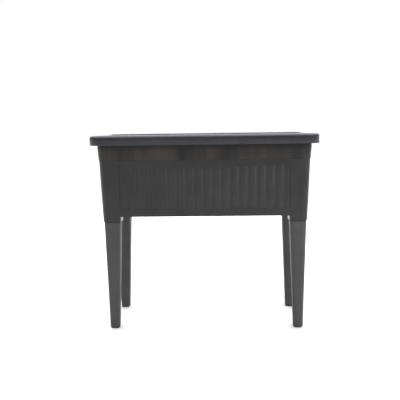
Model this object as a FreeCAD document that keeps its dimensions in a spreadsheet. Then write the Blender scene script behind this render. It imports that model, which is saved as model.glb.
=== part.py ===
import FreeCAD, Part
import math
import os
import Sketcher

# Raised planter on four legs: a moulded tub with a downturned rim and reeded sides,
# four tapered plug-in legs with foot caps, a drainage grid and a drain plug.
# Millimetres. +X is to the right along the length, -Y is the front, +Z is up.
# The origin is on the ground, below the middle of the tub.

doc = FreeCAD.newDocument("raised_planter")
dims = doc.addObject("Spreadsheet::Sheet", "dims")

DRIVING_DIMENSIONS = [
    ("overall_length", 750, "rim, end to end"),
    ("overall_width", 365, "rim, front to back"),
    ("overall_height", 655, "ground to rim"),
    ("rim_height", 33, "depth of the downturned lip"),
    ("rim_overhang", 22.5, "lip face to the top of the band"),
    ("rim_wall", 3.5, "lip and rim deck thickness"),
    ("rim_plan_radius", 50, "rim corner seen from above"),
    ("rim_edge_radius", 6, "rolled outer top edge"),
    ("rim_inner_radius", 3, "edge between rim deck and cavity"),
    ("band_height", 50, "plain band below the rim"),
    ("band_flare", 4.2, "how far the band leans out over its height"),
    ("step_depth", 1.5, "ledge below the band"),
    ("body_plan_radius", 26, "tub corner at the ledge"),
    ("socket_plan_radius", 22, "tub corner at the socket mouth"),
    ("wall_draft", 2.05, "lean of the tub wall, degrees"),
    ("tub_wall", 4.4, "wall thickness"),
    ("cavity_radius", 8, "bend between cavity wall and floor"),
    ("floor_thickness", 4, "tub floor"),
    ("floor_recess", 9, "floor underside above the tub's lower edge"),
    ("post_width", 57, "plain corner post beside the reeds, at the tub's lower edge"),
    ("front_reeds", 19, "reeds on the front and on the back"),
    ("end_reeds", 6, "reeds on each end"),
    ("reed_relief", 2.6, "height of a reed above its valleys"),
    ("reed_setback", 0.2, "reed crest below the corner posts"),
    ("reed_base_gap", 23, "plain strip below the reeds"),
    ("front_shoulder", 26, "ledge to the reed tops, at the middle of the front"),
    ("front_reed_sag", 12, "rise of the reed tops towards the corner posts"),
    ("end_shoulder", 20, "ledge to the reed tops, at the middle of an end"),
    ("end_reed_sag", 5, "rise of the reed tops on an end"),
    ("leg_height", 369, "ground to socket mouth"),
    ("leg_top_width", 55.4, "leg at the socket mouth"),
    ("leg_outer_lean", 9.3, "outer faces move in by this from mouth to foot"),
    ("leg_wall", 3, "leg wall thickness"),
    ("leg_outer_radius", 18, "outer vertical edge at the mouth"),
    ("leg_inner_radius", 8, "other vertical edges at the mouth"),
    ("foot_width", 32, "leg at the ground"),
    ("foot_outer_radius", 12, "outer vertical edge at the ground"),
    ("foot_inner_radius", 9, "other vertical edges at the ground"),
    ("foot_cap_height", 7, "visible part of the foot cap"),
    ("foot_edge_radius", 5.5, "rounded lower edge of the foot cap"),
    ("foot_stem_height", 14, "part of the foot cap inside the leg"),
    ("foot_stem_clearance", 0.25, "foot cap stem to leg wall"),
    ("socket_drop", 17, "sockets reach this far below the tub"),
    ("socket_wall", 2.6, "socket wall thickness"),
    ("socket_roof", 4, "socket roof thickness"),
    ("socket_clearance", 0.3, "leg to socket wall"),
    ("spigot_length", 71, "part of the leg inside the socket"),
    ("spigot_taper", 0.8, "spigot narrows by this on each side"),
    ("rib_thickness", 3, "floor ribs"),
    ("rib_short_of_edge", 2, "ribs end above the tub's lower edge"),
    ("cross_ribs", 6, "ribs across the floor, the outer two in line with the sockets"),
    ("long_ribs", 4, "ribs along the floor, the outer two in line with the sockets"),
    ("drain_radius", 12, "drain outlet"),
    ("drain_boss_wall", 8, "wall of the boss round the outlet"),
    ("drain_boss_drop", 7, "boss below the floor underside"),
    ("plug_clearance", 0.05, "plug stem to outlet"),
    ("plug_flange_lip", 2, "flange of the drain plug past its seal"),
    ("plug_flange_height", 3, "flange of the drain plug"),
    ("plug_stem_height", 12, "stem of the drain plug"),
    ("plug_wall", 2, "wall of the hollow stem"),
    ("plug_grip_length", 26, "finger grip"),
    ("plug_grip_width", 4, "finger grip"),
    ("plug_grip_height", 10, "finger grip"),
    ("seal_height", 2, "sealing ring"),
    ("seal_width", 5, "sealing ring"),
    ("grid_thickness", 3, "drainage grid"),
    ("grid_clearance", 1.5, "drainage grid to tub wall"),
    ("grid_slot_length", 30, "slot in the grid"),
    ("grid_slot_width", 5, "slot in the grid"),
    ("grid_margin_x", 60, "grid edge to the middle of the end slots"),
    ("grid_margin_y", 34, "grid edge to the middle of the outer slots"),
    ("grid_slots_x", 13, "slots along the grid"),
    ("grid_slots_y", 11, "slots across the grid"),
    ("grid_foot_radius", 8, "foot under the grid, at its top"),
    ("grid_foot_draft", 3, "foot under the grid, degrees"),
    ("grid_foot_step_x", 4, "slots from foot to foot along the grid"),
    ("grid_foot_step_y", 5, "slots from foot to foot across the grid"),
    ("grid_feet_x", 3, "feet along the grid"),
    ("grid_feet_y", 2, "feet across the grid"),
]

for row, (alias, number, note) in enumerate(DRIVING_DIMENSIONS, start=1):
    dims.set(f"A{row}", note)
    dims.set(f"B{row}", str(number))
    dims.setAlias(f"B{row}", alias)
doc.recompute()

# Heights, as expressions of the driving dimensions
GROUND = "0"
MOUTH_Z = "dims.leg_height"
TUB_EDGE_Z = "(dims.leg_height + dims.socket_drop)"
FLOOR_UNDER_Z = f"({TUB_EDGE_Z} + dims.floor_recess)"
FLOOR_TOP_Z = f"({FLOOR_UNDER_Z} + dims.floor_thickness)"
SPIGOT_TOP_Z = "(dims.leg_height + dims.spigot_length)"
SOCKET_TOP_Z = f"({SPIGOT_TOP_Z} + dims.socket_roof)"
GRID_TOP_Z = f"({SOCKET_TOP_Z} + dims.grid_thickness)"
RIM_UNDER_Z = "(dims.overall_height - dims.rim_height)"
STEP_Z = f"({RIM_UNDER_Z} - dims.band_height)"
RIM_TOP_Z = "dims.overall_height"
BOSS_Z = f"({FLOOR_UNDER_Z} - dims.drain_boss_drop)"

# Half sizes of the tub, along X with the length and along Y with the width
LENGTH = "dims.overall_length"
WIDTH = "dims.overall_width"


def rim_half(overall):
    return f"({overall} / 2)"


def band_top_half(overall):
    return f"({rim_half(overall)} - dims.rim_overhang)"


def band_low_half(overall):
    return f"({band_top_half(overall)} - dims.band_flare)"


def body_half(overall, height):
    drop = f"({STEP_Z} - {height}) * tan(dims.wall_draft * 1 deg)"
    return f"({band_low_half(overall)} - dims.step_depth - {drop})"


def reed_pitch(overall, reeds):
    """Spacing of the reeds of a side that runs along the other overall size."""
    return f"(2 * ({body_half(overall, TUB_EDGE_Z)} - dims.post_width) / {reeds})"


def leg_outer_half(overall):
    return f"({body_half(overall, MOUTH_Z)} - dims.socket_wall - dims.socket_clearance)"


def foot_centre(overall):
    return f"({leg_outer_half(overall)} - dims.leg_outer_lean - dims.foot_width / 2)"


def number_of(expression):
    return float(dims.evalExpression(expression))


# Sketch helpers

def body_of(label):
    body = doc.addObject("PartDesign::Body", label)
    body.Label = label
    return body


def place(sketch, body, x=GROUND, y=GROUND, z=GROUND, turn=None):
    """Attach a sketch to the body's horizontal plane, moved and turned from it."""
    plane = [f for f in body.Origin.OriginFeatures if f.Role == "XY_Plane"][0]
    sketch.AttachmentSupport = [(plane, "")]
    sketch.MapMode = "FlatFace"
    rotation = turn or "create(<<rotation>>; create(<<vector>>; 0; 0; 1); 0)"
    base = f"create(<<vector>>; {x}; {y}; {z})"
    sketch.setExpression("AttachmentOffset", f"create(<<placement>>; {base}; {rotation})")


def turned(degrees):
    return f"create(<<rotation>>; create(<<vector>>; 0; 0; 1); {degrees})"


def sketch_in(body, name, **where):
    sketch = body.newObject("Sketcher::SketchObject", name)
    place(sketch, body, **where)
    return sketch


def constrain(sketch, kind, *parts, to=None, name=None):
    """Add one constraint; a driving one is named and bound to its expression."""
    if to is None:
        sketch.addConstraint(Sketcher.Constraint(kind, *parts))
        return
    index = sketch.addConstraint(Sketcher.Constraint(kind, *parts, number_of(to)))
    sketch.renameConstraint(index, name)
    sketch.setExpression(f"Constraints.{name}", to)


def pin(sketch, kind, geometry, point, to, name):
    """Hold a point at a signed distance from the sketch's origin."""
    if number_of(to) < 0:
        constrain(sketch, kind, geometry, point, -1, 1, to=f"-({to})", name=name)
    else:
        constrain(sketch, kind, -1, 1, geometry, point, to=to, name=name)


def arc_between(centre_x, centre_y, radius, start, end):
    circle = Part.Circle(FreeCAD.Vector(centre_x, centre_y, 0), FreeCAD.Vector(0, 0, 1), radius)
    return Part.ArcOfCircle(circle, math.radians(start), math.radians(end))


def rounded_rectangle(sketch, sides, radii):
    """Draw one; sides are left, right, low, high and radii start at the low left corner."""
    left, right, low, high = (number_of(side) for side in sides)
    r_ll, r_lr, r_hr, r_hl = (number_of(radius) for radius in radii)
    point = FreeCAD.Vector
    first = sketch.GeometryCount
    sketch.addGeometry([
        Part.LineSegment(point(left + r_ll, low), point(right - r_lr, low)),
        arc_between(right - r_lr, low + r_lr, r_lr, -90, 0),
        Part.LineSegment(point(right, low + r_lr), point(right, high - r_hr)),
        arc_between(right - r_hr, high - r_hr, r_hr, 0, 90),
        Part.LineSegment(point(right - r_hr, high), point(left + r_hl, high)),
        arc_between(left + r_hl, high - r_hl, r_hl, 90, 180),
        Part.LineSegment(point(left, high - r_hl), point(left, low + r_ll)),
        arc_between(left + r_ll, low + r_ll, r_ll, 180, 270),
    ], False)
    for step in range(8):
        here, following = first + step, first + (step + 1) % 8
        constrain(sketch, "Tangent", here, 2, following, 1)
    for side, kind in ((0, "Horizontal"), (2, "Vertical"), (4, "Horizontal"), (6, "Vertical")):
        constrain(sketch, kind, first + side)
    pin(sketch, "DistanceX", first + 6, 1, sides[0], f"left_{first}")
    pin(sketch, "DistanceX", first + 2, 1, sides[1], f"right_{first}")
    pin(sketch, "DistanceY", first, 1, sides[2], f"low_{first}")
    pin(sketch, "DistanceY", first + 4, 1, sides[3], f"high_{first}")
    for corner, radius in zip((7, 1, 3, 5), radii):
        constrain(sketch, "Radius", first + corner, to=radius, name=f"radius_{first + corner}")


def centred_outline(sketch, half_x, half_y, radius):
    rounded_rectangle(sketch, (f"-{half_x}", half_x, f"-{half_y}", half_y), [radius] * 4)


def rectangle(sketch, left, right, low, high):
    sides = [number_of(side) for side in (left, right, low, high)]
    corners = [FreeCAD.Vector(sides[i], sides[j]) for i, j in ((0, 2), (1, 2), (1, 3), (0, 3))]
    for here in range(4):
        sketch.addGeometry(Part.LineSegment(corners[here], corners[(here + 1) % 4]), False)
    for here in range(4):
        constrain(sketch, "Coincident", here, 2, (here + 1) % 4, 1)
        constrain(sketch, ("Horizontal", "Vertical")[here % 2], here)
    pin(sketch, "DistanceX", 3, 1, left, "left")
    pin(sketch, "DistanceX", 1, 1, right, "right")
    pin(sketch, "DistanceY", 0, 1, low, "low")
    pin(sketch, "DistanceY", 2, 1, high, "high")


def circle(sketch, radius, x=GROUND, y=GROUND):
    centre = FreeCAD.Vector(number_of(x), number_of(y), 0)
    first = sketch.addGeometry(
        Part.Circle(centre, FreeCAD.Vector(0, 0, 1), number_of(radius)), False)
    constrain(sketch, "Radius", first, to=radius, name=f"radius_{first}")
    pin(sketch, "DistanceX", first, 3, x, f"x_{first}")
    pin(sketch, "DistanceY", first, 3, y, f"y_{first}")


# Feature helpers

def volume_of(feature):
    doc.recompute()
    return feature.Shape.Volume


def extrude(body, kind, name, sketch, length, against_normal=False):
    """Pad or Pocket along the sketch's normal, or against it."""
    before = body.Shape.Volume if body.Tip else 0
    feature = body.newObject(f"PartDesign::{kind}", name)
    feature.Profile = sketch
    feature.setExpression("Length", length)
    feature.Reversed = against_normal == (kind == "Pad")
    check_change(feature, kind == "Pad", before)
    return feature


def check_change(feature, adds, before):
    after = volume_of(feature)
    if adds and after <= before or not adds and after >= before:
        raise RuntimeError(f"{feature.Name} changed nothing: {before} to {after}")


def loft(body, kind, name, sketches):
    before = body.Shape.Volume if body.Tip else 0
    feature = body.newObject(f"PartDesign::{kind}Loft", name)
    feature.Profile = sketches[0]
    feature.Sections = sketches[1:]
    feature.Ruled = True
    check_change(feature, kind == "Additive", before)
    return feature


def fillet(body, name, radius, chosen):
    """Round the edges of the body's tip that the chosen() test picks."""
    tip = body.Tip
    edges = [f"Edge{i}" for i, edge in enumerate(tip.Shape.Edges, start=1) if chosen(edge)]
    feature = body.newObject("PartDesign::Fillet", name)
    feature.Base = (tip, edges)
    feature.setExpression("Radius", radius)
    doc.recompute()
    return feature


def at_height(height):
    """Test for an edge that lies level at this height."""
    level = number_of(height)

    def chosen(edge):
        box = edge.BoundBox
        return abs(box.ZMin - level) < 0.01 and abs(box.ZMax - level) < 0.01
    return chosen


def pattern(body, name, feature, sketch, counts, pitches):
    """Repeat a feature along the sketch's axes, and leave the pattern as the body's tip."""
    repeated = body.newObject("PartDesign::LinearPattern", name)
    repeated.Originals = [feature]
    repeated.Direction = (sketch, ["H_Axis"])
    repeated.setExpression("Occurrences", counts[0])
    repeated.setExpression("Length", f"({counts[0]} - 1) * {pitches[0]}")
    if len(counts) > 1:
        repeated.Direction2 = (sketch, ["V_Axis"])
        repeated.setExpression("Occurrences2", counts[1])
        repeated.setExpression("Length2", f"({counts[1]} - 1) * {pitches[1]}")
    body.Tip = repeated
    doc.recompute()
    return repeated


# Tub

CORNERS = [
    ("rear_right", 1, 1, 0),
    ("rear_left", -1, 1, 90),
    ("front_left", -1, -1, 180),
    ("front_right", 1, -1, 270),
]

FRONT_REEDS = ("dims.front_reeds", "dims.front_shoulder", "dims.front_reed_sag")
END_REEDS = ("dims.end_reeds", "dims.end_shoulder", "dims.end_reed_sag")

# Name, angle from the front, the size it faces along, the size it runs along, its reeds
SIDES = [
    ("front", 0, WIDTH, LENGTH, *FRONT_REEDS),
    ("right", 90, LENGTH, WIDTH, *END_REEDS),
    ("rear", 180, WIDTH, LENGTH, *FRONT_REEDS),
    ("left", 270, LENGTH, WIDTH, *END_REEDS),
]

SOCKET_SHELL = "(dims.socket_clearance + dims.socket_wall)"
RECESS_DEPTH = "(dims.reed_relief + dims.reed_setback)"


def outline_at(body, name, height, half_of, radius):
    sketch = sketch_in(body, name, z=height)
    centred_outline(sketch, half_of(LENGTH), half_of(WIDTH), radius)
    return sketch


def leg_section(sketch, rise, inset="0"):
    """The leg's outline at a fraction of its height, drawn about the foot's centre."""
    outer = f"(dims.foot_width / 2 + dims.leg_outer_lean * {rise} - {inset})"
    inner_lean = "(dims.leg_top_width - dims.foot_width - dims.leg_outer_lean)"
    inner = f"(dims.foot_width / 2 + {inner_lean} * {rise} - {inset})"
    outer_radius = blend("dims.foot_outer_radius", "dims.leg_outer_radius", rise, inset)
    inner_radius = blend("dims.foot_inner_radius", "dims.leg_inner_radius", rise, inset)
    radii = [inner_radius, inner_radius, outer_radius, inner_radius]
    rounded_rectangle(sketch, (f"-{inner}", outer, f"-{inner}", outer), radii)


def blend(low, high, rise, inset):
    return f"({low} + ({high} - {low}) * {rise} - {inset})"


def section_at_corner(body, name, corner, height, inset):
    _, sign_x, sign_y, angle = corner
    sketch = sketch_in(body, name, x=f"{foot_centre(LENGTH)} * {sign_x}",
                       y=f"{foot_centre(WIDTH)} * {sign_y}", z=height, turn=turned(angle))
    leg_section(sketch, "1", inset)
    return sketch


def panel_place(side_angle, overall, tilt, along=GROUND, up=GROUND, depth=GROUND):
    """Place on a drafted side: along it, up its slope from the tub's edge, and into it."""
    sine = round(math.sin(math.radians(side_angle)))
    cosine = round(math.cos(math.radians(side_angle)))
    lean_sine, lean_cosine = "sin(dims.wall_draft * 1 deg)", "cos(dims.wall_draft * 1 deg)"
    out = (f"({body_half(overall, TUB_EDGE_Z)} + {up} * {lean_sine} - {depth} * {lean_cosine})")
    return {
        "x": f"{out} * {sine} + {along} * {cosine}",
        "y": f"{along} * {sine} - {out} * {cosine}",
        "z": f"{TUB_EDGE_Z} + {up} * {lean_cosine} + {depth} * {lean_sine}",
        "turn": (f"{turned(side_angle)} * create(<<rotation>>; "
                 f"create(<<vector>>; 1; 0; 0); {tilt} + dims.wall_draft)"),
    }


def sagging_outline(sketch, half, base, middle, sag):
    """A panel with upright sides and a top that dips in the middle by sag."""
    half_now, base_now, middle_now, sag_now = (number_of(e) for e in (half, base, middle, sag))
    radius = f"(({half}) ^ 2 + {sag} ^ 2) / (2 * {sag})"
    radius_now = number_of(radius)
    swing = math.degrees(math.asin(half_now / radius_now))
    end_now = middle_now + sag_now
    point = FreeCAD.Vector
    sketch.addGeometry([
        Part.LineSegment(point(-half_now, base_now), point(half_now, base_now)),
        Part.LineSegment(point(half_now, base_now), point(half_now, end_now)),
        Part.LineSegment(point(-half_now, end_now), point(-half_now, base_now)),
        arc_between(0, middle_now + radius_now, radius_now, 270 - swing, 270 + swing),
    ], False)
    constrain(sketch, "Coincident", 0, 2, 1, 1)
    constrain(sketch, "Coincident", 1, 2, 3, 2)
    constrain(sketch, "Coincident", 3, 1, 2, 1)
    constrain(sketch, "Coincident", 2, 2, 0, 1)
    constrain(sketch, "Horizontal", 0)
    constrain(sketch, "Vertical", 1)
    constrain(sketch, "Vertical", 2)
    pin(sketch, "DistanceX", 1, 1, half, "right")
    pin(sketch, "DistanceX", 2, 1, f"-{half}", "left")
    pin(sketch, "DistanceY", 0, 1, base, "base")
    pin(sketch, "DistanceY", 1, 2, f"({middle} + {sag})", "end_height")
    constrain(sketch, "Radius", 3, to=radius, name="top_radius")


def reed_profile(sketch, pitch):
    """One reed seen from above: a flat back and a rounded face, outwards along Y."""
    half, relief = f"({pitch} / 2)", "dims.reed_relief"
    radius = f"({half} ^ 2 + {relief} ^ 2) / (2 * {relief})"
    half_now, radius_now = number_of(half), number_of(radius)
    swing = math.degrees(math.asin(half_now / radius_now))
    sketch.addGeometry([
        Part.LineSegment(FreeCAD.Vector(-half_now, 0), FreeCAD.Vector(half_now, 0)),
        arc_between(0, number_of(relief) - radius_now, radius_now, 90 - swing, 90 + swing),
    ], False)
    constrain(sketch, "Coincident", 0, 2, 1, 1)
    constrain(sketch, "Coincident", 1, 2, 0, 1)
    constrain(sketch, "PointOnObject", 0, 1, -1)
    constrain(sketch, "PointOnObject", 0, 2, -1)
    pin(sketch, "DistanceX", 0, 1, f"-{half}", "left")
    pin(sketch, "DistanceX", 0, 2, half, "right")
    constrain(sketch, "Radius", 1, to=radius, name="reed_radius")


def reeded_panel(body, side):
    name, angle, facing, running, reeds, shoulder, sag = side
    pitch = reed_pitch(running, reeds)
    base = "dims.reed_base_gap"
    slope_height = f"({STEP_Z} - {TUB_EDGE_Z}) / cos(dims.wall_draft * 1 deg)"
    middle = f"({slope_height} - {shoulder})"
    outline = sketch_in(body, f"{name}_panel", **panel_place(angle, facing, "90"))
    sagging_outline(outline, f"({reeds} * {pitch} / 2)", base, middle, sag)
    extrude(body, "Pocket", f"{name}_recess", outline, RECESS_DEPTH, against_normal=True)
    first = panel_place(angle, facing, "180", along=f"(-({reeds} - 1) * {pitch} / 2)",
                        up=base, depth=RECESS_DEPTH)
    profile = sketch_in(body, f"{name}_reed_profile", **first)
    reed_profile(profile, pitch)
    run_into_wall = f"{middle} - {base} + {sag} + dims.reed_relief"
    reed = extrude(body, "Pad", f"{name}_reed", profile, run_into_wall, against_normal=True)
    pattern(body, f"{name}_reeds", reed, profile, [reeds], [pitch])


def tub_outside(body):
    wall = [outline_at(body, "mouth_outline", MOUTH_Z, lambda o: body_half(o, MOUTH_Z),
                       "dims.socket_plan_radius"),
            outline_at(body, "ledge_outline", STEP_Z, lambda o: body_half(o, STEP_Z),
                       "dims.body_plan_radius")]
    loft(body, "Additive", "drafted_wall", wall)
    for side in SIDES:
        reeded_panel(body, side)
    band = [outline_at(body, "band_low", STEP_Z, band_low_half,
                       "(dims.body_plan_radius + dims.step_depth)"),
            outline_at(body, "band_top", RIM_UNDER_Z, band_top_half,
                       "(dims.body_plan_radius + dims.step_depth + dims.band_flare)")]
    loft(body, "Additive", "band", band)
    rim = outline_at(body, "rim_outline", RIM_UNDER_Z, rim_half, "dims.rim_plan_radius")
    extrude(body, "Pad", "rim", rim, "dims.rim_height")
    fillet(body, "rim_edge", "dims.rim_edge_radius", at_height(RIM_TOP_Z))


def socket_inner_half(overall):
    return f"({leg_outer_half(overall)} - dims.leg_top_width - {SOCKET_SHELL})"


def tub_gaps(body):
    """Cut the wall away between the sockets, so that they stand below the tub's edge."""
    for name, half_x, half_y in (
            ("front_gap", socket_inner_half(LENGTH), rim_half(WIDTH)),
            ("end_gap", rim_half(LENGTH), socket_inner_half(WIDTH))):
        sketch = sketch_in(body, name, z=MOUTH_Z)
        rectangle(sketch, f"-{half_x}", half_x, f"-{half_y}", half_y)
        extrude(body, "Pocket", f"{name}_cut", sketch, "dims.socket_drop")


def lip_half(overall):
    return f"({rim_half(overall)} - dims.rim_wall)"


def cavity_half(height):
    return lambda overall: f"({body_half(overall, height)} - dims.tub_wall)"


def cavity_top_half(overall):
    return f"({band_top_half(overall)} - dims.tub_wall)"


def tub_hollows(body):
    channel = outline_at(body, "lip_inside", RIM_UNDER_Z, lip_half,
                         "(dims.rim_plan_radius - dims.rim_wall)")
    centred_outline(channel, band_top_half(LENGTH), band_top_half(WIDTH),
                    "(dims.body_plan_radius + dims.step_depth + dims.band_flare)")
    extrude(body, "Pocket", "lip_channel", channel, "dims.rim_height - dims.rim_wall")
    low_radius = "(dims.socket_plan_radius - dims.tub_wall)"
    high_radius = "(dims.body_plan_radius - dims.tub_wall)"
    cavity = [outline_at(body, "cavity_floor", FLOOR_TOP_Z, cavity_half(FLOOR_TOP_Z), low_radius),
              outline_at(body, "cavity_ledge", STEP_Z, cavity_half(STEP_Z), high_radius),
              outline_at(body, "cavity_band", RIM_UNDER_Z, cavity_top_half, high_radius),
              outline_at(body, "cavity_mouth", RIM_TOP_Z, cavity_top_half, high_radius)]
    loft(body, "Subtractive", "cavity", cavity)
    fillet(body, "cavity_bend", "dims.cavity_radius", at_height(FLOOR_TOP_Z))
    inside = number_of(cavity_top_half(LENGTH))
    level = at_height(RIM_TOP_Z)
    fillet(body, "rim_inner_edge", "dims.rim_inner_radius",
           lambda edge: level(edge) and edge.BoundBox.XMax < inside + dims.rim_wall)


def tub_sockets(body):
    for corner in CORNERS:
        block = section_at_corner(body, f"{corner[0]}_block", corner, FLOOR_UNDER_Z,
                                  f"(-{SOCKET_SHELL})")
        extrude(body, "Pad", f"{corner[0]}_socket", block,
                f"{SOCKET_TOP_Z} - {FLOOR_UNDER_Z}")
        mouth = section_at_corner(body, f"{corner[0]}_mouth", corner, MOUTH_Z,
                                  "(-dims.socket_clearance)")
        roof = section_at_corner(body, f"{corner[0]}_roof", corner, SPIGOT_TOP_Z,
                                 "(dims.spigot_taper - dims.socket_clearance)")
        loft(body, "Subtractive", f"{corner[0]}_hollow", [mouth, roof])


def tub_underside(body):
    edge_half = cavity_half(TUB_EDGE_Z)
    for name, half_x, half_y in (
            ("long_bay", socket_inner_half(LENGTH), edge_half(WIDTH)),
            ("wide_bay", edge_half(LENGTH), socket_inner_half(WIDTH))):
        sketch = sketch_in(body, name, z=TUB_EDGE_Z)
        rectangle(sketch, f"-{half_x}", half_x, f"-{half_y}", half_y)
        extrude(body, "Pocket", f"{name}_cut", sketch, "dims.floor_recess")
    floor_ribs(body, "cross", LENGTH, edge_half(WIDTH), "dims.cross_ribs", "0")
    floor_ribs(body, "long", WIDTH, edge_half(LENGTH), "dims.long_ribs", "90")


def floor_ribs(body, name, spread_along, half_run, ribs, angle):
    """Ribs from the front of the tub to the rear, or turned by 90 degrees."""
    half_rib = "(dims.rib_thickness / 2)"
    spread = f"({socket_inner_half(spread_along)} + {half_rib})"
    sketch = sketch_in(body, f"{name}_rib", z=FLOOR_UNDER_Z, turn=turned(angle))
    rectangle(sketch, f"-{spread} - {half_rib}", f"-{spread} + {half_rib}",
              f"-{half_run}", half_run)
    rib = extrude(body, "Pad", f"{name}_rib_pad", sketch,
                  "dims.floor_recess - dims.rib_short_of_edge", against_normal=True)
    pattern(body, f"{name}_ribs", rib, sketch, [ribs], [f"2 * {spread} / ({ribs} - 1)"])


def tub_drain(body):
    boss = sketch_in(body, "drain_boss", z=BOSS_Z)
    circle(boss, "(dims.drain_radius + dims.drain_boss_wall)")
    extrude(body, "Pad", "drain_boss_pad", boss, f"{FLOOR_UNDER_Z} - {BOSS_Z}")
    outlet = sketch_in(body, "drain_outlet", z=BOSS_Z)
    circle(outlet, "dims.drain_radius")
    extrude(body, "Pocket", "drain_outlet_cut", outlet, f"{FLOOR_TOP_Z} - {BOSS_Z}")


def make_tub():
    body = body_of("tub")
    tub_outside(body)
    tub_gaps(body)
    tub_hollows(body)
    tub_underside(body)
    tub_sockets(body)
    tub_drain(body)
    return body


# Legs and foot caps

CAP_RISE = "(dims.foot_cap_height / dims.leg_height)"


def stand_at_corner(body, corner):
    _, sign_x, sign_y, angle = corner
    base = (f"create(<<vector>>; {foot_centre(LENGTH)} * {sign_x}; "
            f"{foot_centre(WIDTH)} * {sign_y}; 0)")
    body.setExpression("Placement", f"create(<<placement>>; {base}; {turned(angle)})")


def leg_sections(body, name, levels):
    sketches = []
    for number, (height, rise, inset) in enumerate(levels):
        sketch = sketch_in(body, f"{name}_{number}", z=height)
        leg_section(sketch, rise, inset)
        sketches.append(sketch)
    return sketches


def make_leg(corner):
    body = body_of(f"leg_{corner[0]}")
    cap = "dims.foot_cap_height"
    outside = leg_sections(body, "outside", [(cap, CAP_RISE, "0"), (MOUTH_Z, "1", "0")])
    loft(body, "Additive", "tapered_leg", outside)
    spigot = leg_sections(body, "spigot", [(MOUTH_Z, "1", "0"),
                                           (SPIGOT_TOP_Z, "1", "dims.spigot_taper")])
    loft(body, "Additive", "spigot", spigot)
    inside = leg_sections(body, "inside", [
        (cap, CAP_RISE, "dims.leg_wall"),
        (MOUTH_Z, "1", "dims.leg_wall"),
        (SPIGOT_TOP_Z, "1", "(dims.leg_wall + dims.spigot_taper)")])
    loft(body, "Subtractive", "leg_hollow", inside)
    stand_at_corner(body, corner)
    return body


def make_foot_cap(corner):
    body = body_of(f"foot_cap_{corner[0]}")
    pad = sketch_in(body, "pad_outline")
    leg_section(pad, CAP_RISE)
    extrude(body, "Pad", "cap", pad, "dims.foot_cap_height")
    fillet(body, "cap_edge", "dims.foot_edge_radius", at_height(GROUND))
    stem = sketch_in(body, "stem_outline", z="dims.foot_cap_height")
    leg_section(stem, CAP_RISE, "(dims.leg_wall + dims.foot_stem_clearance)")
    extrude(body, "Pad", "stem", stem, "dims.foot_stem_height")
    stand_at_corner(body, corner)
    return body


# Drain plug and its seal

FLANGE_TOP_Z = f"({BOSS_Z} - dims.seal_height)"
FLANGE_UNDER_Z = f"({FLANGE_TOP_Z} - dims.plug_flange_height)"
STEM_RADIUS = "(dims.drain_radius - dims.plug_clearance)"


def make_drain_plug():
    body = body_of("drain_plug")
    flange = sketch_in(body, "flange_outline", z=FLANGE_UNDER_Z)
    circle(flange, "(dims.drain_radius + dims.seal_width + dims.plug_flange_lip)")
    extrude(body, "Pad", "flange", flange, "dims.plug_flange_height")
    stem = sketch_in(body, "stem_outline", z=FLANGE_TOP_Z)
    circle(stem, STEM_RADIUS)
    extrude(body, "Pad", "stem", stem, "dims.plug_stem_height")
    bore = sketch_in(body, "stem_bore", z=f"{FLANGE_TOP_Z} + dims.plug_stem_height")
    circle(bore, f"({STEM_RADIUS} - dims.plug_wall)")
    extrude(body, "Pocket", "stem_hollow", bore, "dims.plug_stem_height", against_normal=True)
    grip = sketch_in(body, "grip_outline", z=FLANGE_UNDER_Z)
    half_x, half_y = "(dims.plug_grip_length / 2)", "(dims.plug_grip_width / 2)"
    rounded_rectangle(grip, (f"-{half_x}", half_x, f"-{half_y}", half_y),
                      ["(dims.plug_grip_width / 4)"] * 4)
    extrude(body, "Pad", "grip", grip, "dims.plug_grip_height", against_normal=True)
    return body


def make_plug_seal():
    body = body_of("plug_seal")
    ring = sketch_in(body, "ring", z=FLANGE_TOP_Z)
    circle(ring, "(dims.drain_radius + dims.seal_width)")
    circle(ring, "dims.drain_radius")
    extrude(body, "Pad", "seal", ring, "dims.seal_height")
    return body


# Drainage grid, which lies on the four socket roofs and stands on its own feet

def grid_half(overall):
    return f"({cavity_half(SOCKET_TOP_Z)(overall)} - dims.grid_clearance)"


def slot_pitch(overall, margin, slots):
    return f"(2 * ({grid_half(overall)} - {margin}) / ({slots} - 1))"


def first_of(count, pitch):
    return f"(-({count} - 1) * {pitch} / 2)"


def make_drainage_grid():
    body = body_of("drainage_grid")
    plate = outline_at(body, "plate_outline", SOCKET_TOP_Z, grid_half,
                       "(dims.body_plan_radius - dims.tub_wall)")
    extrude(body, "Pad", "plate", plate, "dims.grid_thickness")
    pitches = [slot_pitch(LENGTH, "dims.grid_margin_x", "dims.grid_slots_x"),
               slot_pitch(WIDTH, "dims.grid_margin_y", "dims.grid_slots_y")]
    counts = ["dims.grid_slots_x", "dims.grid_slots_y"]
    slot = sketch_in(body, "slot_outline", x=first_of(counts[0], pitches[0]),
                     y=first_of(counts[1], pitches[1]), z=GRID_TOP_Z)
    half_x, half_y = "(dims.grid_slot_length / 2)", "(dims.grid_slot_width / 2)"
    rectangle(slot, f"-{half_x}", half_x, f"-{half_y}", half_y)
    cut = extrude(body, "Pocket", "slot", slot, "dims.grid_thickness", against_normal=True)
    pattern(body, "slots", cut, slot, counts, pitches)
    spans = [f"({pitches[0]} * dims.grid_foot_step_x)", f"({pitches[1]} * dims.grid_foot_step_y)"]
    counts = ["dims.grid_feet_x", "dims.grid_feet_y"]
    foot = sketch_in(body, "foot_outline", x=first_of(counts[0], spans[0]),
                     y=first_of(counts[1], spans[1]), z=SOCKET_TOP_Z)
    circle(foot, "dims.grid_foot_radius")
    post = extrude(body, "Pad", "foot", foot, f"{SOCKET_TOP_Z} - {FLOOR_TOP_Z}",
                   against_normal=True)
    post.setExpression("TaperAngle", "-dims.grid_foot_draft")
    pattern(body, "feet", post, foot, counts, spans)
    return body


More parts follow.
